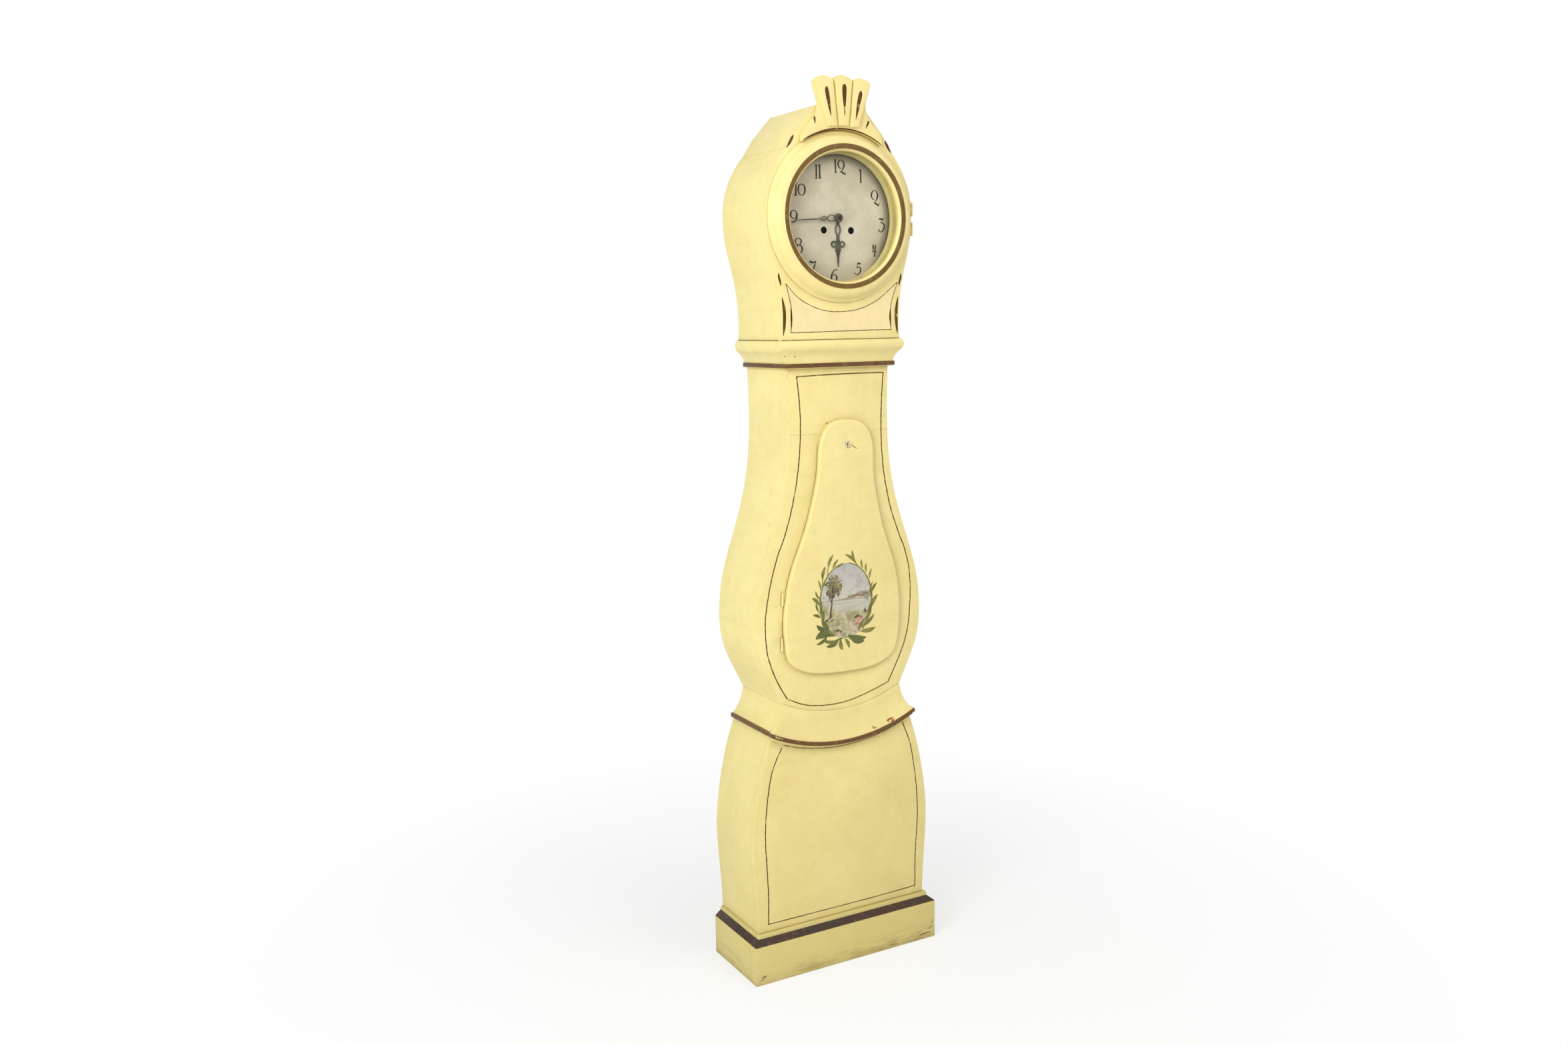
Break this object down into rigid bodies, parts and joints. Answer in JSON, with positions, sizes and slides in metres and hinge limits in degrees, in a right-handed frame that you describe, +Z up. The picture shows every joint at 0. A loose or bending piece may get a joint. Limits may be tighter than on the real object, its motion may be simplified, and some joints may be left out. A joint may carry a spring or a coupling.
{
  "type": "long case clock",
  "caption": "Swedish-style long case clock with a round glazed hood, fluted crown, pear-shaped painted waist, oval medallion door, sagging middle moulding and shaped base on a plinth.",
  "frame": {"origin": "on the floor, at the middle of the plinth's footprint", "axes": "+X to the viewer's right when facing the dial, +Z up, front towards -Y"},
  "size_m": [0.505, 0.23, 2.05],
  "materials": {
    "painted_wood": "worn cream distemper paint over pine",
    "bare_wood": "unfinished pine",
    "iron": "wrought iron, lightly rusted",
    "blackened_steel": "blackened",
    "brass": "tarnished",
    "cast_weight": "cast, dull",
    "painted_dial": "matte off-white with black numerals",
    "glass": "old window glass",
    "gut_line": "twisted gut"
  },
  "bodies": {
    "case": {"plinth_front": "painted_wood", "plinth_sides": "painted_wood", "base_floor": "bare_wood", "base_front": "painted_wood", "base_sides": "painted_wood", "waist_front": "painted_wood", "waist_sides": "painted_wood", "back_board": "bare_wood", "mid_moulding_front": "painted_wood", "mid_moulding_sides": "painted_wood", "collar_front": "painted_wood", "collar_sides": "painted_wood", "door_hinges_fixed": "iron", "seat_board": "bare_wood", "seat_cheeks": "bare_wood", "front_plate": "iron", "back_plate": "iron", "dial": "painted_dial", "bell": "brass", "suspension_cock": "iron", "time_line": "gut_line", "strike_line": "gut_line"},
    "waist_door": {"waist_door": "painted_wood", "door_hinges_moving": "iron", "lock_case": "iron", "keyhole_plate": "brass"},
    "lock_bolt": {"lock_bolt": "iron"},
    "hood": {"hood_front": "painted_wood", "hood_sides": "painted_wood", "hood_roof": "painted_wood", "hood_crown": "painted_wood", "bezel_hinges_fixed": "iron"},
    "glazed_door": {"bezel_ring": "painted_wood", "bezel_glass": "glass", "bezel_hinges_moving": "iron"},
    "centre_arbor": {"centre_wheel": "brass", "cannon_pinion": "brass", "minute_hand": "blackened_steel"},
    "hour_pipe": {"hour_wheel": "brass", "hour_hand": "blackened_steel"},
    "minute_wheel": {"minute_wheel": "brass"},
    "time_great": {"time_great_wheel": "brass"},
    "time_barrel": {"time_barrel": "brass"},
    "third": {"third_wheel": "brass"},
    "escape": {"escape_wheel": "brass"},
    "pallets": {"pallet_anchor": "iron"},
    "pendulum": {"pendulum_rod": "iron", "pendulum_bob": "brass"},
    "strike_great": {"strike_great_wheel": "brass"},
    "strike_barrel": {"strike_barrel": "brass"},
    "pin": {"pin_wheel": "brass"},
    "hoop": {"hoop_wheel": "brass"},
    "warning": {"warning_wheel": "brass"},
    "fly": {"fly": "brass"},
    "hammer": {"hammer": "iron"},
    "time_weight": {"time_weight": "cast_weight"},
    "time_pulley": {"time_pulley": "brass"},
    "strike_weight": {"strike_weight": "cast_weight"},
    "strike_pulley": {"strike_pulley": "brass"}
  },
  "joints": [
    {"name": "hood_slide", "type": "slide", "parent": "case", "child": "hood", "axis": [0, -1, 0], "range_m": [0, 0.25]},
    {"name": "bezel_hinge", "type": "hinge", "parent": "hood", "child": "glazed_door", "pos_m": [0.1902, -0.1005, 1.748], "axis": [0, 0, 1], "range_deg": [0, 110]},
    {"name": "waist_door_hinge", "type": "hinge", "parent": "case", "child": "waist_door", "pos_m": [-0.15721, -0.0847, 0.8553], "axis": [0.0332, 0, 0.9995], "range_deg": [-110, 0]},
    {"name": "lock_bolt_slide", "type": "slide", "parent": "waist_door", "child": "lock_bolt", "axis": [0.9995, 0, -0.0332], "range_m": [0, 0.02]},
    {"name": "centre_turn", "type": "hinge", "parent": "case", "child": "centre_arbor", "pos_m": [0, -0.035, 1.748], "axis": [0, 1, 0], "continuous": true},
    {"name": "minute_wheel_turn", "type": "hinge", "parent": "case", "child": "minute_wheel", "pos_m": [0, -0.065, 1.7768], "axis": [0, 1, 0], "continuous": true},
    {"name": "hour_turn", "type": "hinge", "parent": "case", "child": "hour_pipe", "pos_m": [0, -0.073, 1.748], "axis": [0, 1, 0], "continuous": true},
    {"name": "third_turn", "type": "hinge", "parent": "case", "child": "third", "pos_m": [0.005, -0.025, 1.76633], "axis": [0, 1, 0], "continuous": true},
    {"name": "escape_turn", "type": "hinge", "parent": "case", "child": "escape", "pos_m": [0, -0.015, 1.78258], "axis": [0, 1, 0], "continuous": true},
    {"name": "time_great_turn", "type": "hinge", "parent": "case", "child": "time_great", "pos_m": [0.0355, -0.007, 1.721], "axis": [0, 1, 0], "continuous": true},
    {"name": "time_winding", "type": "hinge", "parent": "time_great", "child": "time_barrel", "pos_m": [0.0355, -0.035, 1.721], "axis": [0, 1, 0], "range_deg": [0, 5760]},
    {"name": "time_weight_slide", "type": "slide", "parent": "case", "child": "time_weight", "axis": [0, 0, 1], "range_m": [0, 1.0485], "deforming": ["time_line"]},
    {"name": "time_pulley_turn", "type": "hinge", "parent": "time_weight", "child": "time_pulley", "pos_m": [0.0275, -0.031, 0.47], "axis": [0, 1, 0], "range_deg": [0, 4674]},
    {"name": "pendulum_swing", "type": "hinge", "parent": "case", "child": "pendulum", "pos_m": [0, 0.027, 1.8024], "axis": [0, 1, 0], "range_deg": [-2.5, 2.5]},
    {"name": "pallet_swing", "type": "hinge", "parent": "case", "child": "pallets", "pos_m": [0, -0.015, 1.8024], "axis": [0, 1, 0], "range_deg": [-2.5, 2.5]},
    {"name": "hoop_turn", "type": "hinge", "parent": "case", "child": "hoop", "pos_m": [-0.03391, -0.041, 1.77961], "axis": [0, 1, 0], "continuous": true},
    {"name": "pin_turn", "type": "hinge", "parent": "case", "child": "pin", "pos_m": [-0.04304, -0.031, 1.76379], "axis": [0, 1, 0], "continuous": true},
    {"name": "strike_great_turn", "type": "hinge", "parent": "case", "child": "strike_great", "pos_m": [-0.0355, -0.049, 1.721], "axis": [0, 1, 0], "continuous": true},
    {"name": "warning_turn", "type": "hinge", "parent": "case", "child": "warning", "pos_m": [-0.0393, -0.019, 1.79441], "axis": [0, 1, 0], "continuous": true},
    {"name": "fly_turn", "type": "hinge", "parent": "case", "child": "fly", "pos_m": [-0.02856, -0.031, 1.80061], "axis": [0, 1, 0], "continuous": true},
    {"name": "strike_winding", "type": "hinge", "parent": "strike_great", "child": "strike_barrel", "pos_m": [-0.0355, -0.025, 1.721], "axis": [0, -1, 0], "range_deg": [0, 5760]},
    {"name": "strike_weight_slide", "type": "slide", "parent": "case", "child": "strike_weight", "axis": [0, 0, 1], "range_m": [0, 1.0485], "deforming": ["strike_line"]},
    {"name": "strike_pulley_turn", "type": "hinge", "parent": "strike_weight", "child": "strike_pulley", "pos_m": [-0.0275, -0.031, 0.47], "axis": [0, -1, 0], "range_deg": [0, 4674]},
    {"name": "hammer_lift", "type": "hinge", "parent": "case", "child": "hammer", "pos_m": [-0.06, -0.029, 1.79], "axis": [0, 1, 0], "range_deg": [-12, 0]}
  ],
  "couplings": [
    {"joint": "minute_wheel_turn", "follows": "centre_turn", "ratio": -0.33333},
    {"joint": "hour_turn", "follows": "centre_turn", "ratio": 0.083333},
    {"joint": "third_turn", "follows": "centre_turn", "ratio": -8},
    {"joint": "escape_turn", "follows": "centre_turn", "ratio": 60},
    {"joint": "time_great_turn", "follows": "centre_turn", "ratio": -0.083333},
    {"joint": "pin_turn", "follows": "hoop_turn", "ratio": -0.125},
    {"joint": "strike_great_turn", "follows": "hoop_turn", "ratio": 0.012821},
    {"joint": "warning_turn", "follows": "hoop_turn", "ratio": -8},
    {"joint": "fly_turn", "follows": "hoop_turn", "ratio": 54.857},
    {"joint": "time_winding", "follows": "time_weight_slide", "rad_per_m": 95.923},
    {"joint": "time_pulley_turn", "follows": "time_weight_slide", "rad_per_m": 77.821},
    {"joint": "strike_winding", "follows": "strike_weight_slide", "rad_per_m": 95.923},
    {"joint": "strike_pulley_turn", "follows": "strike_weight_slide", "rad_per_m": 77.821},
    {"joint": "pallet_swing", "follows": "pendulum_swing", "ratio": 1}
  ]
}
